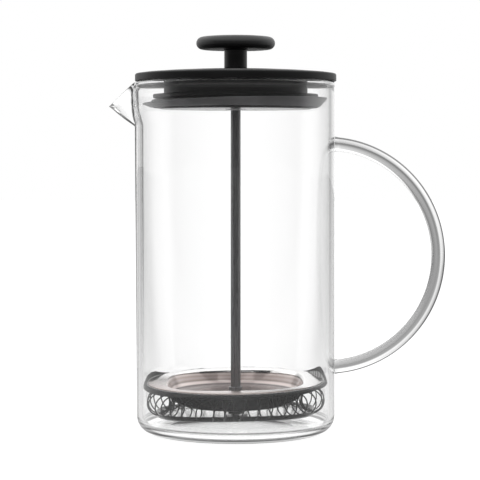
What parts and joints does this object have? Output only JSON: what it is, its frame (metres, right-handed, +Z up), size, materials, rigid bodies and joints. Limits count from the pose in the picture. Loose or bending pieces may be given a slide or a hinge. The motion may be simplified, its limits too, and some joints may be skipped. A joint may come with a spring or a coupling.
{
  "type": "french press",
  "caption": "Glass french press jug with pinched spout and loop handle, black lifting lid, and sliding plunger with knob and sprung mesh filter.",
  "frame": {"origin": "centre of the jug's flat foot, on the surface it stands on", "axes": "+Z up along the jug and plunger, +X towards the handle, -X towards the spout"},
  "size_m": [0.1706, 0.102, 0.2001],
  "materials": {
    "glass": "clear, smooth",
    "black_plastic": "satin black",
    "silicone": "dull dark grey",
    "steel": "drawn",
    "polished_steel": "mirror polished",
    "mesh_steel": "woven",
    "dark_steel": "dark, smooth",
    "spring_steel": "dark wire",
    "brass": "machined"
  },
  "bodies": {
    "jug": {"jug_body": "glass", "jug_handle": "glass"},
    "lid": {"lid_cover": "black_plastic", "lid_plug": "black_plastic", "lid_gasket": "silicone", "lid_base_plate": "steel", "rod_guide_bush": "steel"},
    "plunger": {"plunger_rod": "steel", "knob": "black_plastic", "knob_insert": "brass", "rod_collar": "steel", "collar_washer": "steel", "filter_dish": "polished_steel", "filter_mesh": "mesh_steel", "filter_spring_cup": "dark_steel", "filter_spring": "spring_steel", "filter_hub": "dark_steel", "filter_base_pan": "dark_steel", "filter_base_nut": "steel"}
  },
  "joints": [
    {"name": "lid_lift", "type": "slide", "parent": "jug", "child": "lid", "axis": [0, 0, 1], "range_m": [0, 0.185]},
    {"name": "plunger_slide", "type": "slide", "parent": "lid", "child": "plunger", "axis": [0, 0, 1], "range_m": [0, 0.13]}
  ]
}
